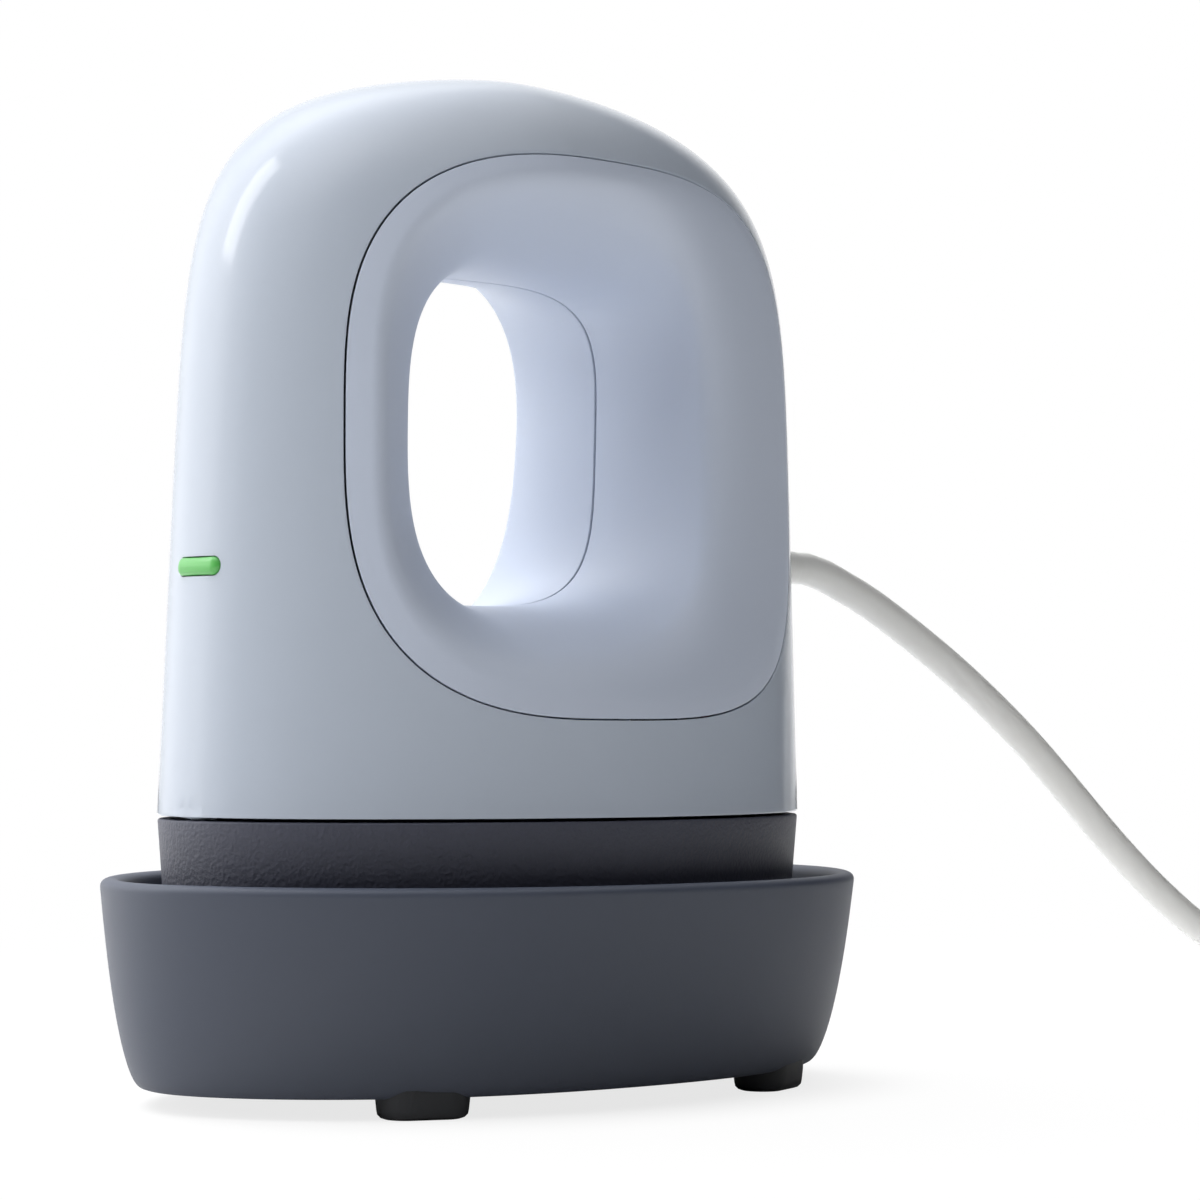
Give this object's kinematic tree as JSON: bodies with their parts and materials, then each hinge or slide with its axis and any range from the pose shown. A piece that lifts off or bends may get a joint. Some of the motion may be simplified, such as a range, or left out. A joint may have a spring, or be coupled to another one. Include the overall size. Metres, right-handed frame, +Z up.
{
  "type": "mini heat press",
  "caption": "Small upright heat press with a through handle, green power button and heated oval plate, seated in its insulated resting tray, with a mains cord and coiled spare length.",
  "frame": {"origin": "centre of the bottom of the tray's and press's bounding box, on the floor between the feet", "axes": "+Z up; +X from the power button towards the cord; -Y is the side seen in the picture"},
  "size_m": [0.2762, 0.1059, 0.1207],
  "materials": {
    "shell": "gloss pale blue-grey",
    "panel": "fine matte lavender-blue",
    "skirt": "spark-textured charcoal",
    "tray": "matte slate grey",
    "foot": "matte near black",
    "silicone": "matte grey",
    "insert": "matte off-white fibre board",
    "heat_plate": "fine blasted",
    "steel": "satin",
    "brass": "satin",
    "fibre": "matte",
    "chassis": "moulded black",
    "board": "solder mask green",
    "module": "moulded black",
    "relay": "moulded blue",
    "button": "translucent green gloss",
    "cord": "soft satin warm grey",
    "tie": "satin black",
    "live": "wire insulation",
    "neutral": "wire insulation"
  },
  "bodies": {
    "base": {"base_tray": "tray", "insulating_insert": "insert", "foot_front_near": "foot", "foot_front_far": "foot", "foot_rear_near": "foot", "foot_rear_far": "foot", "rest_pad_front_near": "silicone", "rest_pad_front_far": "silicone", "rest_pad_rear_near": "silicone", "rest_pad_rear_far": "silicone", "cord_tube": "cord", "cord_coil": "cord", "cord_tie": "tie", "plug_body": "cord", "plug_blade_near": "brass", "plug_blade_far": "brass"},
    "press": {"heat_plate": "heat_plate", "heat_skirt": "skirt", "body_shell": "shell", "side_panel_near": "panel", "side_panel_far": "panel", "strain_relief": "cord", "heater_element": "steel", "temperature_sensor": "brass", "thermal_fuse": "fibre", "insulation_pad": "fibre", "heat_shield": "steel", "chassis": "chassis", "plate_screw_1": "steel", "plate_screw_2": "steel", "plate_screw_3": "steel", "plate_screw_4": "steel", "shell_screw_front": "steel", "shell_screw_rear": "steel", "control_board": "board", "power_module": "module", "relay": "relay", "lead_connector": "fibre", "capacitor": "module", "button_board": "board", "tact_switch": "module", "status_led": "button", "cord_clamp": "chassis", "clamp_screw_near": "steel", "clamp_screw_far": "steel", "live_lead": "live", "neutral_lead": "neutral", "heater_lead_near": "live", "heater_lead_far": "live", "sensor_lead": "fibre", "button_lead": "fibre"},
    "button": {"power_button": "button"}
  },
  "joints": [
    {"name": "press_lift", "type": "slide", "parent": "base", "child": "press", "axis": [0, 0, 1], "range_m": [0, 0.06]},
    {"name": "button_press", "type": "slide", "parent": "press", "child": "button", "axis": [1, 0, 0], "range_m": [0, 0.0006], "stiffness_N_per_m": 1500, "springref_m": -0.0004}
  ]
}
